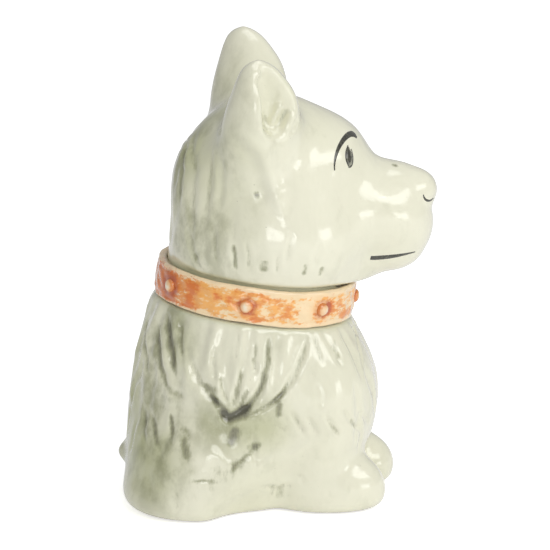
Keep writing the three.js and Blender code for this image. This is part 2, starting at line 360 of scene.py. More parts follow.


# Clear glaze over cream clay. Grey-green wash lies in drifts over the coat, and pools in the
# carved fur, where it darkens from olive to near black with ragged edges. Towards the back the
# drifts are also painted shade.
def creamGlaze():
    f = Finish("creamGlaze", 0.18, **{**gloss, "Coat_Roughness": 0.06})
    pool, halo, washAndShade, foot = f.layer("pool"), f.layer("halo"), f.layer("washAndShade"), f.layer("foot")
    drift = f.noise(24, (1, 1, 0.6), 3)
    streaks = f.noise(140, (1, 1, 0.2), 4, 0.65, 2.0)
    grain = f.noise(430, (1, 1, 0.5), 4, 0.65, 8.0)
    patches = f.noise(58, (1, 1, 0.7), 5, 0.6, 5.0)
    # washAndShade pulls the coat towards olive and wash: partly the real wash, partly painted shade towards
    # the back
    veil = f.times(washAndShade, f.plus(0.25, f.between(drift, 0.36, 0.62)))
    colour = f.mix(f.times(veil, 0.56, True), clay["cream"], clay["olive"])
    washed = f.times(f.between(patches, 0.46, 0.64), f.plus(0.55, f.times(drift, 0.7)))
    colour = f.mix(f.times(f.times(washed, washAndShade), 0.6, True), colour, clay["wash"])
    faint = f.between(f.noise(95, (1, 1, 0.7), 4, 0.6, 11.0), 0.54, 0.74)
    colour = f.mix(f.times(faint, f.plus(0.1, f.times(washAndShade, 0.3))), colour, clay["wash"])
    broken = f.plus(f.times(f.minus(grain, 0.5), 1.1), f.times(f.minus(streaks, 0.5), 1.3))
    inside = f.between(pool, 0.02, 0.3)  # the noise only breaks up what was brushed on
    ragged = f.plus(pool, f.times(broken, inside))
    colour = f.mix(f.times(f.between(ragged, 0.12, 0.7), 0.72), colour, clay["wash"])
    colour = f.mix(f.times(f.between(ragged, 0.5, 1.05), 0.8), colour, clay["deep"])
    colour = f.mix(f.times(f.between(ragged, 0.95, 1.4), 0.85), colour, clay["soot"])
    colour = f.mix(f.times(halo, 0.7), colour, clay["halo"])
    specks = f.between(f.noise(800, (1, 1, 1), 1, 0.5, 4.0), 0.765, 0.79)
    colour = f.mix(f.times(specks, 0.3), colour, clay["deep"])
    bare = f.mix(f.noise(300, (1, 1, 1), 5, 0.7, 1.0), clay["bisque"], clay["grit"])
    f.feed("Base Color", f.mix(foot, colour, bare))
    f.feed("Roughness", f.plus(f.times(foot, 0.55), f.plus(0.1, f.times(drift, 0.1))))
    f.bump(f.plus(f.noise(85, (1, 1, 0.8), 2), f.times(foot, f.noise(1800))), 0.0009)
    return f.material


# Red-orange glaze brushed along the strap: darker red round the studs and towards the nape, paler on
# the right towards the throat, partly thin glaze and partly painted highlight, and worn to peach along both
# edges.
def orangeGlaze():
    f = Finish("orangeGlaze", 0.16, **gloss)
    edge, ring, thin, towardsNape = f.layer("edge"), f.layer("ring"), f.layer("thin"), f.layer("towardsNape")
    blots = f.noise(95, (1, 1, 1.8), 4, 0.62)
    fine = f.noise(260, (1, 1, 2.0), 4, 0.7, 3.0)
    thick = f.plus(f.between(blots, 0.48, 0.64), f.times(ring, 0.6))
    # thin: paler on the side that faces the lights, partly thin glaze and partly painted highlight
    thick = f.minus(f.plus(thick, f.times(towardsNape, 0.9)), f.times(thin, 0.35), True)
    colour = f.mix(thick, strapGlaze["amber"], strapGlaze["red"])
    worn = f.plus(fine, f.plus(f.times(edge, 0.3), f.times(thin, 0.18)))
    worn = f.plus(worn, f.times(f.minus(0.5, blots), 0.9))
    pale = f.minus(f.between(worn, 0.55, 0.72), f.times(ring, 0.6), True)
    colour = f.mix(f.times(pale, 0.92), colour, strapGlaze["worn"])
    rim = f.between(f.plus(edge, f.times(fine, 0.5)), 1.0, 1.4)
    colour = f.mix(rim, colour, strapGlaze["rim"])
    dark = f.times(ring, f.plus(f.times(blots, 2.6), -0.6))
    dark = f.between(f.plus(dark, f.times(towardsNape, f.times(fine, 0.9))), 0.35, 0.95)
    f.feed("Base Color", f.mix(f.times(dark, 0.8), colour, strapGlaze["rust"]))
    f.feed("Roughness", f.plus(0.1, f.times(blots, 0.14)))
    f.bump(f.plus(fine, f.times(blots, 2.0)), 0.0003)
    return f.material


# Cream on the studs' crowns, partly cream slip and partly a painted highlight on each dome's top, with
# orange that has run up from the strap.
def studSlipAndHighlight():
    f = Finish("studSlipAndHighlight", 0.12, **gloss)
    crown = f.plus(f.layer("crown"), f.times(f.noise(380, (1, 1, 1), 3, 0.6), 0.8))
    colour = f.mix(f.between(crown, 0.85, 1.25), studColoursAndHighlight["foot"], studColoursAndHighlight["side"])
    f.feed("Base Color", f.mix(f.between(crown, 1.2, 1.5), colour, studColoursAndHighlight["crown"]))
    f.bump(f.noise(300, (1, 1, 1), 2), 0.0001)
    return f.material


# Painted lines: dense in the middle of the brush, thinner where it ran dry.
def brushGlaze(name, dense, dry):
    f = Finish(name, 0.14, **gloss)
    thin = f.between(f.noise(650, (1, 1, 1), 3, 0.6), 0.4, 0.72)
    f.feed("Base Color", f.mix(thin, dense, dry))
    f.bump(f.noise(400, (1, 1, 1), 2), 0.0001)
    return f.material


# Dull black rubber with dust in its pores.
def blackRubber():
    f = Finish("blackRubber", 0.6)
    dust = f.noise(500, (1, 1, 1), 5, 0.7)
    f.feed("Base Color", f.mix(f.between(dust, 0.4, 0.8), (0.018, 0.018, 0.018), (0.07, 0.066, 0.06)))
    f.feed("Roughness", f.plus(0.5, f.times(dust, 0.3)))
    f.bump(f.noise(1500, (1, 1, 1), 2), 0.00005)
    return f.material


cream, orange, white, rubber = creamGlaze(), orangeGlaze(), studSlipAndHighlight(), blackRubber()
brush = brushGlaze("blackBrush", (0.028, 0.028, 0.018), (0.085, 0.086, 0.06))
smoke = brushGlaze("greyBrush", (0.10, 0.10, 0.075), (0.40, 0.40, 0.31))
print("stage 2: finishes mixed")


# The body: trunk, haunches, chest, forelegs, paws and tail on a flat foot.
body = {
    "wall": 5.0, "step": 1.0, "chartRadius": 46.0, "chartX": -4.0,
    "low": (-64, -52, -3), "high": (62, 52, 101),
    "hole": (-14.0, 16.0), "holeTop": 20.0, "recess": (21.5, 4.0), "boss": (22.0, 9.0), "neckFloor": 70.0,
    "slotMiddle": 63.0, "slotHalf": 15.5, "slotWidth": 5.0, "slotFront": -36.0,
    # height, middle x, half length, half width
    "trunk": [(0, -17, 36, 36), (12, -15, 41, 39), (28, -9, 47, 41), (45, -4, 51, 42), (62, -3.5, 49, 40),
              (80, -3.5, 44.5, 35), (98, -0.5, 40.5, 31)],
    # centre, radii and fillet of what is on both sides
    "lobes": [((-21.5, 18, 13), (31.5, 29.5, 34), 10),  # haunch
              ((31, 5, 44), (21.5, 20, 32), 8),  # chest
              ((28, 18, 43), (18, 17, 36), 8),  # foreleg
              ((30, 16.5, 8), (27, 15.5, 19.5), 6),  # paw
              ((-50.5, 0, 17), (9.5, 7, 5.5), 4),  # tail stub
              ((-32, 20, 7), (23, 25.5, 12), 6)],  # hind foot
    "leftWrist": ((49.5, 14, 9), (8, 8, 8), 8),
    "footGap": ((5, 45, 0), (17, 13.5, 14), 9),  # between hind foot and paw
    "wash": {"back": 1.6, "flank": 1.05, "rest": 0.12},  # how strong it is brushed on; on the back it is also painted shade
}
trunkTable = smoothRows(body["trunk"], 14)


# Outer form: an upright oval that changes with height, with the lobes added and the foot cut flat.
def bodyForm(p):
    q = mirrored(p)
    x, long, wide = rowsAt(trunkTable, q[..., 2])
    d = (np.hypot((q[..., 0] - x) / long, q[..., 1] / wide) - 1) * wide
    d = withLobes(d, q, body["lobes"])
    d = withLobes(d, p, [body["leftWrist"]])
    centre, radii, fillet = body["footGap"]
    d = shared(d, -ellipsoid(q, centre, radii), fillet)
    return shared(d, -q[..., 2], 5)  # flat foot with a rounded edge


# How far points are from the middle line of the coin slot, seen from behind.
def fromSlot(p):
    over = np.maximum(np.abs(p[..., 2] - body["slotMiddle"]) - body["slotHalf"], 0)
    return np.hypot(p[..., 1], over)


# The clay: the form cut under the collar, with the neck's seat, less the hollow, hole and slot.
def bodyShape(p):
    x, y, z = p[..., 0], p[..., 1], p[..., 2]
    outside = shared(bodyForm(p), overNeck(p) + seatEdge, 3)
    seat = np.maximum(neckOval(p), overNeck(p) + seatJoint)
    solid = np.where(z > body["neckFloor"], blend(outside, seat, 0.6), outside)
    across = np.hypot(x - body["hole"][0], y)
    boss = np.maximum(across - body["boss"][0], z - body["boss"][1])
    bore = np.maximum(neckOval(p, -body["wall"]), body["neckFloor"] - z)
    hollow = blend(bodyForm(p) + body["wall"], bore, 4)
    hollow = np.maximum(hollow, -boss)
    recess = np.maximum(across - body["recess"][0], z - body["recess"][1])
    hole = np.maximum(across - body["hole"][1], z - body["holeTop"])
    slot = np.maximum(fromSlot(p) - body["slotWidth"] / 2, x - body["slotFront"])
    cut = shared(solid, -slot, 1.6)
    cut = shared(cut, -recess, 0.8)
    cut = np.maximum(cut, -hole)
    return np.maximum(cut, -hollow)


bodyStrokes = [  # half width, depth, darkness, then x and z of the points, seen from the side
    (1.8, 1.0, 0.35, (-27, 74), (-23, 64), (-17, 56), (-10, 50.5)),
    (1.3, 0.5, 0.75, (-17, 56), (-13, 53), (-9.5, 49.8), (-8, 47.6)),
    (1.7, 1.4, 1.60, (-13.5, 50.6), (-8.6, 46.7), (-3, 50), (1.5, 53.4)),
    (1.3, 1.4, 0.85, (-6, 47.6), (0, 52), (5, 59.5), (7.6, 70), (8.4, 85)),
    (1.0, 0.8, 0.60, (2.8, 80), (1.9, 72), (3.0, 65)),
    (1.2, 0.9, 0.75, (-2.3, 70), (-4.4, 61), (-6.0, 55), (-7.2, 50)),
    (0.9, 0.7, 0.50, (-12.5, 66), (-10.5, 58), (-8, 52)),
    (0.8, 0.5, 0.50, (0.5, 61), (-2.5, 55), (-5.5, 50)),
    (1.5, 0.5, 0.55, (-20, 61), (-16.5, 59), (-12, 58.5)),
    (1.6, 0.4, 0.40, (-17, 57), (-15, 54.5), (-12.5, 53.5)),
    (1.1, 0.7, 0.30, (-15, 78), (-15.5, 69), (-13.5, 60)),
    (1.0, 0.6, 0.25, (-4.5, 84), (-5.2, 76), (-5.5, 70)),
    (1.2, 1.2, 0.45, (24.5, 80), (22.5, 73), (19.5, 65.5), (14.5, 57.5), (8, 51.5)),
    (1.0, 0.9, 0.62, (17, 61), (14, 56.6), (7, 51.6), (-2.5, 46.9), (-6.5, 45)),
    (1.5, 0.4, 0.80, (13.6, 54.5), (12.6, 50), (12.3, 46)),
    (1.2, 0.4, 0.35, (10.5, 46), (13, 42), (17, 40)),
    (2.0, 0.15, 0.90, (-5, 44), (-6.3, 39), (-8.8, 34)),
    (1.2, 0.6, 0.65, (6, 36), (1, 31.5), (-6, 26), (-8.5, 22.5)),
    (1.5, 0.3, 0.45, (6, 35), (1, 34.6), (-2, 33)),
    (0.6, 0.2, 0.60, (-25, 20), (-19, 20.4), (-12, 19.8)),
    (5.0, 0.3, 0.22, (-26, 27), (-22, 22), (-24, 15)),
    (4.5, 0.3, 0.20, (-2, 30), (-7, 24), (-9, 17)),
    (5.5, 0.3, 0.18, (-18, 46), (-10, 42), (0, 41)),
    (3.5, 0.3, 0.24, (5, 12), (13, 9.5), (21, 11)),
    (4.0, 0.3, 0.16, (-14, 30), (-12, 22), (-16, 12)),
    (1.2, 0.9, 0.70, (-46.5, 80), (-46.2, 70), (-44, 58)),
    (1.6, 1.1, 0.95, (-41, 82), (-39.8, 71), (-37, 60), (-35, 56)),
    (1.7, 1.1, 0.95, (-36.5, 88), (-35, 78), (-33.5, 69), (-31.8, 60)),
    (6.0, 0.2, 0.24, (-33, 87), (-29, 80), (-25, 74)),
    (1.0, 0.7, 0.40, (-30.5, 86), (-29.5, 76), (-28.5, 68)),
    (1.2, 0.5, 0.90, (-43, 45), (-40.5, 38), (-37.5, 30)),
    (1.1, 0.5, 0.60, (-46.5, 47), (-46, 38), (-44.5, 31)),
    (1.0, 0.4, 0.75, (-33.8, 47), (-33.3, 41), (-32.7, 33)),
    (1.6, 0.4, 0.75, (-27.6, 39), (-26.6, 33), (-25.6, 27)),
    (1.3, 0.3, 0.50, (-30, 40.8), (-27, 40.5), (-24.8, 37.5)),
    (1.5, 0.4, 0.35, (-38, 60), (-33, 55), (-26, 54)),
    (1.6, 0.3, 0.30, (-43, 22), (-42, 14), (-40, 8)),
    (1.4, 0.3, 0.25, (-30, 17), (-31, 11), (-30, 6)),
    (1.1, 0.9, 0.30, (17, 50), (20.5, 44), (23.5, 37.5)),
    (1.0, 0.7, 0.20, (24.5, 47), (27, 42), (29, 37)),
    (1.0, 0.8, 0.32, (32, 47), (35.5, 41), (38.5, 36)),
    (1.0, 0.9, 0.40, (39, 49), (42.5, 42.5), (46.5, 36.5)),
    (1.0, 0.7, 0.25, (46, 46), (48, 41), (50, 37)),
    (0.8, 0.6, 0.35, (26.5, 84), (28, 76), (31, 67)),
    (0.7, 0.4, 0.20, (34.5, 80), (36, 74), (38.5, 66)),
    (0.8, 0.6, 0.32, (42.5, 79), (44.5, 71), (47.0, 60)),
    (1.5, 0.4, 0.14, (28, 62), (30, 55), (30, 49)),
    (1.2, 0.4, 0.28, (4, 15), (12, 12.5), (20, 14)),
    (1.0, 0.3, 0.28, (20, 20), (22, 17), (23, 13)),
]

# Faint long locks that fill the rest of the coat: rows of wavy strokes that run down it.
locks = {"seed": 7, "spacing": 9.5, "rowHeight": 21.0, "length": (17, 32), "halfWidth": (1.0, 2.0),
         "depth": (0.35, 0.95), "darkness": (0.0, 0.30), "around": (-70, 72), "height": (24, 84),
         "lean": (0.0, 0.002),  # drift for each mm that a lock falls: at s = 0, and more for each mm of s
         "free": [(-40, 40, 42, 84)]}  # s and z between which there are none: those strokes are listed one by one

# Where the smooth hind leg and paws come out of the coat: x and height, and how far they stand proud.
coatEdge = {"line": [(-60, 36), (-34, 37), (-22, 35), (-10, 30), (0, 27), (10, 29), (20, 33.5), (34, 36),
                     (60, 36)],
            "proud": 1.3, "soft": 5.0, "reach": 11.0, "wave": 1.6, "waveScale": 2.3}

# Upright swells under the collar: amplitude, width of one swell, sway and its phase.
swells = [(0.42, 13.5, 2.2, 0.4), (0.24, 7.9, 1.9, 2.1)]


# Rows of locks from the top down, each a line with one wave that drifts as it falls.
def coat(settings, rng):
    strokes = []
    first, last = settings["around"]
    low, high = settings["height"]
    rows = int((high - low) / settings["rowHeight"]) + 1
    for row in range(rows):
        s = first + settings["spacing"] * (0.5 * (row % 2) + rng.uniform(-0.2, 0.2))
        while s < last:
            top = high - row * settings["rowHeight"] + rng.uniform(-5, 5)
            length = rng.uniform(*settings["length"])
            at = s + rng.uniform(-1.6, 1.6)
            drift = settings["lean"][0] + settings["lean"][1] * at + rng.uniform(-0.14, 0.14)
            wave = rng.uniform(-1.8, 1.8)
            t = np.linspace(0, 1, 6)
            line = np.stack([at + drift * length * t + wave * np.sin(2 * np.pi * t), top - length * t], -1)
            width, depth, dark = (rng.uniform(*settings[k]) for k in ("halfWidth", "depth", "darkness"))
            free = all(not (a < at < b and c < top - length / 2 < d) for a, b, c, d in settings["free"])
            if free and top - length > low - 4:
                strokes.append((line, width, depth, dark))
            s += settings["spacing"]
    return strokes


# The skin of the clay, moved along its normals by the grooves, the swells and the leg's lip.
def makeBody():
    points, faces = skinOf(bodyShape, body["low"], body["high"], body["step"])
    normals = normalsOf(bodyShape, points)
    skin = outerSkin(bodyForm(points))
    z = points[:, 2]
    rng = np.random.default_rng(locks["seed"])
    strokes = charted(bodyStrokes, bodyForm, body)
    strokes += coat(locks, rng)
    chart = chartOf(points, body)
    height, shade = carve(chart, strokes)
    collar = -(overNeck(points) + bandHalf)  # mm below the collar's lower edge
    under = np.clip(collar / 5, 0, 1) * np.clip((z - 2) / 5, 0, 1)
    calm = np.where(points[:, 0] < -30, np.clip((fromSlot(points) - 3) / 4, 0, 1), 1)
    keep = skin * under * calm
    rolls = sum(a * np.sin(2 * np.pi * chart[:, 0] / wide + sway * np.sin(z / 10 + phase) + phase)
                for a, wide, sway, phase in swells)
    rolls = rolls * np.clip((z - 40) / 18, 0, 1) * np.clip((30 - points[:, 0]) / 20, 0.12, 1)
    edge = np.interp(points[:, 0], *np.array(coatEdge["line"], float).T)
    edge = edge + coatEdge["wave"] * np.sin(chart[:, 0] / coatEdge["waveScale"])
    lip = np.clip((edge - z) / coatEdge["soft"] + 0.5, 0, 1)
    lip = coatEdge["proud"] * lip * lip * (3 - 2 * lip)
    lip = lip * np.exp(-np.maximum(edge - z, 0) / coatEdge["reach"])
    lip = lip * np.clip((points[:, 0] + 52) / 20, 0, 1) * np.clip((34 - points[:, 0]) / 14, 0, 1)
    points = points + normals * ((height + rolls + lip) * keep)[:, None]
    points[:, 2] = np.where(z < 0.3, np.maximum(points[:, 2], 0), points[:, 2])
    piece = putMesh("bodyGlazed", points, faces, cream, nodes=("body_casting",))
    putLayer(piece, "pool", shade * keep)
    putLayer(piece, "halo", skin * np.exp(-((collar / 1.6) ** 2)))
    x = points[:, 0]
    # washAndShade: olive wash on the flank, and a wash that grows towards the back, where it is also
    # painted shade on the side away from the lights
    wash = body["wash"]
    back = wash["back"] * np.clip((-18 - x) / 16, 0, 1) * np.clip((z + 4) / 30, 0.2, 1)
    flank = wash["flank"] * np.exp(-(((z - 43) / 12) ** 2)) * np.clip((24 - x) / 16, 0, 1)
    rest = wash["rest"] + 0.1 * np.clip((20 - x) / 20, 0, 1)
    putLayer(piece, "washAndShade", skin * np.maximum(np.maximum(back, flank), rest))
    putLayer(piece, "foot", ((z < 0.6) | (skin < 0.3)) * 1.0)
    return piece


makeBody()
print("stage 3: body made")


# The head: skull, face and ears. Its places are as if it looked straight ahead.
head = {
    "step": 1.0, "chartRadius": 34.0, "chartX": 2.0, "low": (-46, -52, 90), "high": (86, 52, 203),
    "look": math.radians(62), "earTop": 200.4, "earFoot": 138.0, "seatTop": 112.0,
    "skull": ((5.5, 0, 138), (39, 33, 40)), "hollow": ((3, 0, 131), (30, 24, 35)),
    # centre, radii and fillet
    "lobes": [((-3.5, 0, 115), (33.5, 32, 34), 8),  # nape
              ((-19.5, 0, 138), (14.5, 17, 20), 8),  # lock on the nape
              ((27.5, 0, 149), (21, 22, 19), 7),  # brow
              ((13, 12, 118), (31, 25, 28), 10),  # cheek
              ((44, 0, 127), (25, 21, 22), 10),  # cheek to muzzle
              ((58, 0, 120.5), (18.5, 17, 20), 8),  # muzzle
              ((61, 0, 136), (13, 9, 9), 8),  # bridge
              ((70.2, 0, 134.5), (7.8, 8.5, 7.6), 3.5),  # nose
              ((53, 0, 108), (16, 13, 8), 6),  # jaw
              ((29, 0, 103), (22, 21, 14), 8)],  # throat
    # height, middle x, how far out, half chord, half depth
    "ear": [(136, -1, 12, 5, 5), (148, -1, 17, 14, 12), (160, -1, 21, 17.5, 15), (172, 0, 24.5, 17, 15),
            (177, 0.3, 25.7, 16.2, 14.2), (181.4, 0.5, 26.7, 15.2, 13.2), (186, 0.4, 27.8, 13.6, 11.6),
            (190.6, -0.4, 28.8, 11.4, 9.3), (195, -1.2, 29.6, 8.8, 7.0), (198, -1.8, 30.1, 6.4, 5.0),
            (199.6, -2, 30.4, 4.2, 3.4), (200.4, -2.2, 30.5, 0.1, 0.1)],
    # the cup in its front: height, half chord, half depth, shift along the chord, shift outwards
    "cup": [(166, 0.1, 0.1, 1, 18), (169.5, 7, 5, 3, 17), (173, 11, 8, 4.5, 17),
            (180, 11.5, 8.5, 4.5, 15.2), (187, 9.5, 7, 3.4, 11.8), (193, 6.5, 5, 1.8, 8.6),
            (197.5, 0.1, 0.1, 0.5, 5)],
    "scoop": 0.62,  # how fast the cup's floor rises towards the face
}
earTable, cupTable = smoothRows(head["ear"], 5), smoothRows(head["cup"], 4)


# Skull, face and throat, as if it looked straight ahead: ellipsoids with fillets.
def skullForm(q):
    return withLobes(ellipsoid(q, *head["skull"]), q, head["lobes"])


# An ear and its cup: oval sections across a standing axis, their sizes and places read from a
# table by height. The cup's floor slopes up towards the face.
def earParts(q):
    z = q[..., 2]
    x, out, chord, deep = rowsAt(earTable, z)
    dx, dy = q[..., 0] - x, q[..., 1] - out
    c, s = math.cos(head["look"]), math.sin(head["look"])
    ahead, along = dx * c + dy * s, dx * s - dy * c
    blade = (np.hypot(ahead / deep, along / chord) - 1) * np.minimum(deep, chord)
    blade = shared(np.maximum(blade, head["earFoot"] - z), z - head["earTop"], 3)
    wide, thick, shift, forth = rowsAt(cupTable, z)
    floor = ahead - forth - head["scoop"] * (along - shift)
    cup = (np.hypot(floor / thick, (along - shift) / wide) - 1) * np.minimum(wide, thick)
    cup = np.maximum(cup, np.maximum(z - head["cup"][-1][0], head["cup"][0][0] - z))
    return blade, cup


# Outer form: the ears blended to the skull, their cups cut out, all turned to the head's look.
def headForm(p):
    q = mirrored(turned(p, -headTurn))
    blade, cup = earParts(q)
    d = blend(skullForm(q), blade, 9)
    return shared(d, -cup, 4.2)


# The clay: the form cut over the collar, with its half of the neck's seat, less the hollow.
def headShape(p):
    outside = shared(headForm(p), seatEdge - overNeck(p), 3)
    under = p[..., 2] - head["seatTop"]
    seat = np.maximum(np.maximum(neckOval(p), seatJoint - overNeck(p)), under)
    solid = blend(outside, seat, 0.6)
    bore = np.maximum(neckOval(p, -body["wall"]), under)
    hollow = blend(ellipsoid(turned(p, -headTurn), *head["hollow"]), bore, 6)
    return np.maximum(solid, -hollow)


headStrokes = [  # as bodyStrokes
    (1.3, 0.7, 0.70, (-29, 160), (-32, 148), (-33.5, 132)),
    (1.6, 0.7, 0.32, (-23, 166), (-27, 150), (-29, 131), (-28.5, 122)),
    (1.6, 0.6, 0.24, (-18.5, 160), (-22, 144), (-24, 126)),
    (1.5, 0.6, 0.16, (-14, 158), (-17, 146), (-18, 134)),
    (1.2, 0.6, 0.35, (-31, 126), (-29, 117), (-26, 110)),
    (1.2, 0.4, 0.45, (-28.5, 115), (-27.5, 111), (-25, 108)),
    (1.1, 0.5, 0.30, (-20, 128), (-20, 119), (-19, 111)),
    (0.8, 0.4, 0.70, (-12.8, 122), (-12.2, 116), (-11.4, 109)),
    (0.9, 0.3, 0.35, (-7.5, 124), (-6.5, 117), (-6.5, 110)),
    (1.4, 0.3, 0.80, (0.8, 116), (-0.6, 112.5), (0.8, 109)),
    (1.0, 0.3, 0.35, (6, 119), (5, 113), (5.5, 108)),
    (0.8, 0.2, 0.55, (17.5, 114), (17.2, 110.5), (16.8, 107)),
    (0.8, 0.2, 0.60, (25, 111.5), (24.5, 109), (23.5, 106)),
    (1.2, 0.4, 0.20, (12, 128), (10, 119), (9, 112)),
    (1.2, 0.4, 0.18, (24, 122), (22, 115), (21, 110)),
    (1.0, 0.3, 0.20, (36, 118), (33, 111), (31, 106)),
]
# Small dark spots: place, radius and darkness.
spots = [((-2.7, -32, 142.5), 1.2, 1.1), ((59.3, -4.7, 146.4), 1.3, 0.8), ((23.5, -30, 128), 0.8, 0.25)]
# Hairs inside the ear's cup, and the ridge that runs down from its rim, seen from the side. A
# negative depth stands proud.
earFolds = [
    (1.6, -1.3, 0.0, (3, 172), (6, 178), (8.5, 182)),
    (1.2, 0.6, 0.30, (5, 170.5), (8, 175.5), (11, 180)),
    (1.5, -1.2, 0.0, (8.5, 168.5), (11, 173), (13.5, 178)),
    (1.1, 0.5, 0.22, (11, 168), (13, 171), (15, 175)),
    (1.2, 0.5, 0.22, (2.5, 180), (4.5, 184), (6.5, 187)),
    (1.6, 0.6, 0.45, (0.5, 178), (0.8, 173), (2.5, 169.5)),
]
earRidge = [(3.0, -1.6, 0.0, (-1.5, 176), (0.0, 164), (2.6, 152), (6, 141), (9, 132))]


# Quieter locks on the nape.
napeLocks = {**locks, "seed": 11, "halfWidth": (1.5, 2.6), "depth": (0.2, 0.6), "darkness": (0.0, 0.16),
             "around": (-56, -14), "height": (112, 160), "lean": (-0.05, 0.0), "free": []}


# The skin of the clay, moved along its normals by the grooves, the ear's ridge and its hairs.
def makeHead():
    points, faces = skinOf(headShape, head["low"], head["high"], head["step"])
    normals = normalsOf(headShape, points)
    q = mirrored(turned(points, -headTurn))
    skin = outerSkin(headForm(points))
    rng = np.random.default_rng(napeLocks["seed"])
    strokes = charted(headStrokes, skullForm, head)
    strokes += coat(napeLocks, rng)
    height, shade = carve(chartOf(q, head), strokes)
    rise, _ = carve(chartOf(q, head), charted(earRidge, skullForm, head))
    flat = [(line, wide, deep, dark) for wide, deep, dark, *line in earFolds]
    fold, foldShade = carve(q[:, [0, 2]], flat)
    above = overNeck(points) - bandHalf
    blade, cup = earParts(q)
    inCup = skin * np.clip(3.5 - np.abs(cup), 0, 1) * np.clip((q[:, 2] - 164) / 4, 0, 1)
    furry = np.clip((40 - q[:, 0]) / 16, 0, 1) * np.clip((168 - q[:, 2]) / 10, 0, 1)
    keep = skin * np.clip(above / 4, 0, 1) * furry
    calm = skin * np.clip((172 - q[:, 2]) / 8, 0, 1) * np.clip((cup - 1) / 2, 0, 1)
    points = points + normals * (height * keep + rise * calm + fold * inCup)[:, None]
    shade = shade * keep + foldShade * inCup
    turnedBack = turned(points, -headTurn)
    for place, radius, dark in spots:
        shade += skin * dark * np.exp(-(np.linalg.norm(turnedBack - place, axis=1) / radius) ** 2)
    piece = putMesh("headGlazed", points, faces, cream,
                    nodes=("head_casting", "ear_left", "ear_right"))
    putLayer(piece, "pool", shade)
    putLayer(piece, "halo", skin * np.exp(-((above / 1.6) ** 2)))
    # washAndShade on the head: an olive tint over the crown, and more wash towards the back of the head and
    # lower down, which is partly painted shade on the side away from the lights
    crest = np.clip((q[:, 2] - 150) / 20, 0, 1) * np.clip((48 - q[:, 0]) / 30, 0, 1) * 0.3
    crest = np.maximum(np.clip((6 - q[:, 0]) / 26, 0.06, 1.4), crest)
    putLayer(piece, "washAndShade", skin * crest * np.clip((215 - q[:, 2]) / 50, 0.2, 1))
    putLayer(piece, "foot", (skin < 0.3) * 1.0)
    return piece


makeHead()
print("stage 4: head made")


# The collar and its studs.
collar = {"thick": 3.6, "round": 1.5, "seat": 0.3, "crown": 0.25, "columns": 480,
          "studTurns": (-92, -45, 3, 55, 107, 159, 215), "studRadius": 2.9, "studHeight": 1.9}


# A point on the collar: turn round the neck, how far out from the seat, height over its middle.
def onCollar(turn, out, up):
    turn, out, up = np.broadcast_arrays(turn, out, up)
    x, y = (neck["long"] + out) * np.cos(turn), (neck["wide"] + out) * np.sin(turn)
    c, s = math.cos(neck["lean"]), math.sin(neck["lean"])
    return np.stack([neck["x"] + x * c + up * s, y, neck["z"] - x * s + up * c], -1)


# Where the studs stand round the neck.
def studTurns():
    return [math.radians(turn) for turn in collar["studTurns"]]


# The strap's section, (out, up): flat inside, round corners, and a face that swells a little.
def strapSection():
    r, high, thick, seat = collar["round"], bandHalf, collar["thick"], collar["seat"]
    section = [(seat, -high + 0.5), (seat, high - 0.5)]
    corner = np.linspace(math.pi / 2, 0, 5)
    section += [(thick - r + r * math.cos(a) + seat, high - r + r * math.sin(a)) for a in corner]
    for t in np.linspace(0.9, -0.9, 19):
        section.append((thick + seat + collar["crown"] * math.cos(math.pi * t / 2), t * (high - r)))
    section += [(thick - r + r * math.cos(a) + seat, -high + r - r * math.sin(a)) for a in corner[::-1]]
    return np.array(section)


# The strap's section carried round the neck's oval, with slow waves and the potter's finger marks.
def makeCollar():
    thick, section = collar["thick"], strapSection()
    turn = np.linspace(0, 2 * math.pi, collar["columns"], endpoint=False)
    out, up = section[:, 0][:, None], section[:, 1][:, None]
    lumps = 0.16 * np.sin(9 * turn + 0.5) * np.sin(up / 3) + 0.13 * np.sin(23 * turn + up)
    lumps = lumps + 0.11 * np.sin(41 * turn + 1.4 * np.sin(up / 2)) * np.cos(up / 6)
    wave = 0.25 * np.sin(3 * turn + 1) + 0.18 * np.sin(7 * turn)
    shown = np.clip((out - 1) / 1.5, 0, 1)
    lumps = lumps - 0.35 * np.exp(-(((np.abs(up) - 5.9) / 0.8) ** 2))  # a line sunk along both edges
    for at in studTurns():
        away = np.linalg.norm(onCollar(turn[None, :], thick, up) - onCollar(at, thick, 0.0), axis=-1)
        lumps = lumps - 0.22 * np.exp(-(((away - 3.8) / 0.8) ** 2))  # a ring pressed round each stud
    points = onCollar(turn[None, :], out + lumps * shown, up + wave * shown)
    faces = gridFaces(len(section), collar["columns"], True)
    piece = putMesh("collarStrap", points.reshape(-1, 3), faces, orange,
                    nodes=("collar_band",))
    ring = np.zeros(points.shape[:2])
    for at in studTurns():
        away = np.linalg.norm(points - onCollar(at, thick, 0.0), axis=-1)
        ring = np.maximum(ring, np.exp(-((np.maximum(away - 3.0, 0) / 2.6) ** 2)))
    edge = np.clip((np.abs(up) - bandHalf + 2.6) / 2.0, 0, 1)
    thin = np.clip(1.9 * np.cos(turn + 0.87) - 0.9, 0, 1)  # most at the right of the throat, which faces the lights: partly thin glaze, partly painted highlight
    towardsNape = np.clip((-0.45 - np.cos(turn)) / 0.4, 0, 1)  # darker red towards the nape
    for name, values in (("edge", edge), ("ring", ring), ("thin", thin), ("towardsNape", towardsNape)):
        putLayer(piece, name, np.broadcast_to(values, points.shape[:2]).ravel())


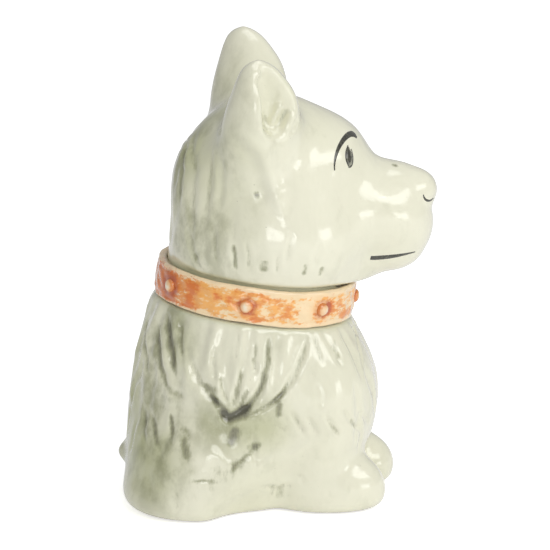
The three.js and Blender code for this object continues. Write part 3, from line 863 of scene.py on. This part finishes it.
# Low dome: rings from its foot to its top, set square on the strap.
def makeStud(number, turn):
    rows, columns = 12, 40
    a = np.linspace(-0.35, 1, rows)[:, None] * math.pi / 2
    u = np.linspace(0, 2 * math.pi, columns, endpoint=False)[None, :]
    radius = collar["studRadius"] * np.cos(a) * (1 + 0.03 * np.sin(3 * u + number))
    out = np.where(a < 0, a * 3, collar["studHeight"] * np.sin(a))
    foot = collar["thick"] + 0.4
    centre = onCollar(turn, foot, 0.0)
    normal = onCollar(turn, foot + 1.0, 0.0) - centre
    normal = normal / np.linalg.norm(normal)
    up = np.array([math.sin(neck["lean"]), 0, math.cos(neck["lean"])])
    side = np.cross(up, normal)
    points = (centre + out[..., None] * normal + (radius * np.cos(u))[..., None] * side
              + (radius * np.sin(u))[..., None] * up)
    tip = (rows - 1) * columns  # the last ring is one point
    points = np.concatenate([points.reshape(-1, 3)[:tip], [centre + collar["studHeight"] * normal]])
    faces = gridFaces(rows - 1, columns).tolist() + [list(range(columns))[::-1]]
    faces += [[tip - columns + j, tip - columns + (j + 1) % columns, tip] for j in range(columns)]
    piece = putMesh(f"studDome{number}", points, faces, white,
                    nodes=(f"collar_stud_{number}",))
    # crown: 0 at the dome's foot to 1 at its top; the finish paints the top cream, partly as a painted
    # highlight
    putLayer(piece, "crown", np.clip((points - centre) @ normal / collar["studHeight"], 0, 1))


makeCollar()
for number, turn in enumerate(studTurns(), 1):
    makeStud(number, turn)
print("stage 5: collar made")


# The rubber stopper: its turned section (out from the hole's axis, height), and its bar as
# sections (height, half length, half width) from the bottom up.
stopper = {
    "columns": 96,
    "profile": [(0.01, 8.5), (11, 8.5), (11.7, 8.1), (12, 7.4), (12.9, 2.0), (13.4, 1.5), (19.8, 1.5),
                (20.4, 1.8), (20.6, 2.3), (20.6, 3.2), (20.4, 3.6), (19.9, 3.7), (15.9, 3.7), (15.6, 4.2),
                (15.7, 5.2), (15.3, 6.0), (15.7, 6.8), (15.3, 7.6), (15.7, 8.4), (15.3, 9.4), (14.4, 11),
                (13.8, 11.5), (0.01, 11.5)],
    "bar": [(1.9, 12.2, 1.1), (2.3, 12.3, 1.5), (8.6, 11.6, 1.6)],
}


# Closed profile turned round the hole's axis, and a bar across the cup.
def makeStopper():
    columns, middle = stopper["columns"], body["hole"][0]
    r, z = (side[:, None] for side in np.array(stopper["profile"]).T)
    turn = np.linspace(0, 2 * math.pi, columns, endpoint=False)
    points = np.stack(np.broadcast_arrays(middle + r * np.cos(turn), -r * np.sin(turn), z), -1)
    faces = gridFaces(len(r), columns).tolist()
    faces += [list(range(columns))[::-1], list(range((len(r) - 1) * columns, len(r) * columns))]
    putMesh("stopperPlug", points.reshape(-1, 3), faces, rubber, "stopper_body",
            ("stopper",))
    corners = ((-1, -1), (1, -1), (1, 1), (-1, 1))
    bar = [(middle + a * long, b * wide, z) for z, long, wide in stopper["bar"] for a, b in corners]
    faces = gridFaces(3, 4).tolist() + [[3, 2, 1, 0], [8, 9, 10, 11]]
    putMesh("stopperBar", bar, faces, rubber, "stopper_body")


makeStopper()
print("stage 6: stopper made")


# Painted lines: brow, eye, mouth and nose.
lines = {"sink": 0.5, "along": 90, "across": 8, "leastHalf": 0.12}


# A brush line on the side of the head: a flat lens section carried along a smooth path, laid on
# the surface. line: x, z and half width of its points.
def makeLine(name, line, side, paint, lift):
    line = np.asarray(line, float)
    t = np.linspace(0, 1, len(line))
    u = np.linspace(0, 1, lines["along"])
    fit = [np.polynomial.Polynomial.fit(t, line[:, k], min(3, len(line) - 1)) for k in range(3)]
    x, z, wide = (f(u) for f in fit)
    wide = np.maximum(wide, lines["leastHalf"])
    dx, dz = np.gradient(x), np.gradient(z)
    size = np.hypot(dx, dz)
    across = np.linspace(-1, 1, lines["across"])
    gx = x[:, None] - (dz / size * wide)[:, None] * across
    gz = z[:, None] + (dx / size * wide)[:, None] * across
    top = np.stack([gx, sideOut(skullForm, gx, gz), gz], -1)
    normal = normalsOf(skullForm, top.reshape(-1, 3)).reshape(top.shape)
    crown = np.sqrt(np.clip(1 - across**2, 0, 1))[None, :, None]
    upper = top + normal * (lift * crown - 0.03)
    lower = top - normal * lines["sink"]
    loop = np.concatenate([upper, lower[:, ::-1]], 1)
    if side > 0:
        loop = loop[:, ::-1]
    points = loop.reshape(-1, 3) * [1, side, 1]
    count = loop.shape[1]
    faces = gridFaces(len(u), count)[:, ::-1].tolist()
    faces += [list(range(count)), list(range((len(u) - 1) * count, len(u) * count))[::-1]]
    putMesh(name, turned(points, headTurn), faces, paint)


face = {  # paint, lift over the glaze, then x, z and half width
    "brow": (brush, 0.12, (31.0, 150.2, 0.3), (31.7, 154.8, 0.6), (33.4, 159.2, 1.0),
             (36.6, 161.8, 1.15), (39.6, 161.8, 1.0), (42.2, 160.2, 0.35)),
    "eye": (smoke, 0.10, (37.6, 158.4, 0.2), (37.7, 156.6, 1.1), (37.9, 154.6, 1.5),
            (38.1, 152.4, 1.3), (38.4, 150.4, 0.3)),
    "pupil": (brush, 0.17, (37.4, 158.2, 0.2), (37.5, 156.4, 0.85), (37.7, 154.4, 1.05),
              (38.0, 152.2, 0.6)),
    "lid": (brush, 0.16, (37.6, 158.8, 0.2), (36.5, 156.6, 0.34), (36.4, 153.9, 0.36),
            (37.5, 150.6, 0.25)),
    "underLid": (brush, 0.15, (37.4, 150.4, 0.3), (38.9, 150.9, 0.42), (39.5, 153.6, 0.3),
                 (38.9, 157.2, 0.2)),
    "mouth": (brush, 0.2, (47.5, 108.9, 1.0), (53, 108.7, 1.1), (60, 109.2, 0.8),
              (67.3, 109.6, 0.25)),
    "nostril": (brush, 0.12, (70.9, 134.4, 0.2), (71.8, 132.2, 0.5), (73.8, 131.0, 0.55),
                (75.8, 131.6, 0.35)),
}
for side, tag in ((-1, "Right"), (1, "Left")):
    for name, (paint, lift, *line) in face.items():
        makeLine(name + tag, line, side, paint, lift)
print("stage 7: face painted")


# Floor, light and camera, in metres and degrees.
room = {
    "target": (0, 0, 0.090), "azimuth": 4.0, "elevation": 17.0, "distance": 1.8, "lens": 274.3,
    "sensor": 36, "shiftX": -0.001818, "shiftY": 0.032727, "floorSize": 3.0, "floorDrop": -0.0002,
    "floorGlow": 0.12, "floorShown": 0.6, "dim": 0.42,
    # place, size across and up, power
    "lights": {"windowLight": ((0.55, -0.96, 0.94), (1.1, 0.75), 6.5),
               "sideLight": ((1.07, -0.48, 0.66), (0.5, 0.32), 1.1),
               "lowLight": ((1.12, -0.65, 0.12), (0.4, 0.2), 0.6),
               "frontLight": ((0.09, -1.3, 0.13), (0.4, 0.22), 0.8),
               "topLight": ((0.2, 0.2, 1.4), (0.9, 0.9), 3.6)},
}


# A white floor that glows a little and is clear from below, and a pale room. Both light the piece
# more softly than they show.
def makeRoom():
    size, z = room["floorSize"], room["floorDrop"]
    mesh = bpy.data.meshes.new("floor")
    corners = [(-size, -size, z), (size, -size, z), (size, size, z), (-size, size, z)]
    mesh.from_pydata(corners, [], [(0, 1, 2, 3)])
    floor = bpy.data.objects.new("floor", mesh)
    bpy.context.scene.collection.objects.link(floor)
    f = Finish("paleFloor", 0.6, Emission_Color=(1, 1, 1, 1))
    seen = f.add("ShaderNodeLightPath").outputs["Is Camera Ray"]
    more = f.times(seen, room["floorShown"] - room["floorGlow"])
    f.feed("Emission Strength", f.plus(more, room["floorGlow"]))
    under = f.add("ShaderNodeNewGeometry").outputs["Backfacing"]
    clear = f.add("ShaderNodeBsdfTransparent")
    either = f.add("ShaderNodeMixShader", {0: under, 1: f.shader.outputs[0], 2: clear.outputs[0]})
    f.tree.links.new(either.outputs[0], f.tree.nodes["Material Output"].inputs["Surface"])
    f.feed("Base Color", f.mix(f.noise(3), (0.92, 0.92, 0.92), (0.94, 0.94, 0.94)))
    mesh.materials.append(f.material)
    world = bpy.data.worlds.new("paleRoom")
    world.use_nodes = True
    tree = world.node_tree
    shown = tree.nodes["Background"]
    shown.inputs["Color"].default_value = (1, 1, 1, 1)
    soft = tree.nodes.new("ShaderNodeBackground")
    soft.inputs["Color"].default_value = (1, 1, 1, 1)
    soft.inputs["Strength"].default_value = room["dim"]
    path = tree.nodes.new("ShaderNodeLightPath")
    either = tree.nodes.new("ShaderNodeMixShader")
    tree.links.new(path.outputs["Is Camera Ray"], either.inputs[0])
    tree.links.new(soft.outputs[0], either.inputs[1])
    tree.links.new(shown.outputs[0], either.inputs[2])
    tree.links.new(either.outputs[0], tree.nodes["World Output"].inputs["Surface"])
    bpy.context.scene.world = world
    bpy.context.scene.view_settings.view_transform = "Standard"  # glaze colours as they are mixed


# A soft window of light that looks at the piece.
def softLight(name, place, size, power):
    light = bpy.data.lights.new(name, "AREA")
    light.shape, light.energy = "RECTANGLE", power
    light.size, light.size_y = size
    lamp = bpy.data.objects.new(name, light)
    bpy.context.scene.collection.objects.link(lamp)
    lamp.location = place
    x, y, z = np.array(place) - room["target"]
    lamp.rotation_euler = (math.atan2(math.hypot(x, y), z), 0, math.atan2(x, -y))


# The camera on its ball round the target; the shifts centre the figure.
def makeCamera():
    camera = bpy.data.cameras.new("camera")
    camera.lens, camera.sensor_width = room["lens"], room["sensor"]
    camera.shift_x, camera.shift_y = room["shiftX"], room["shiftY"]
    camera.clip_end = 20
    holder = bpy.data.objects.new("camera", camera)
    bpy.context.scene.collection.objects.link(holder)
    a, e = math.radians(room["azimuth"]), math.radians(room["elevation"])
    back = np.array([math.sin(a) * math.cos(e), -math.cos(a) * math.cos(e), math.sin(e)])
    holder.location = np.array(room["target"]) + room["distance"] * back
    holder.rotation_euler = (math.pi / 2 - e, 0, a)
    bpy.context.scene.camera = holder


makeRoom()
for name, (place, size, power) in room["lights"].items():
    softLight(name, place, size, power)
makeCamera()
print("stage 8: room lit")
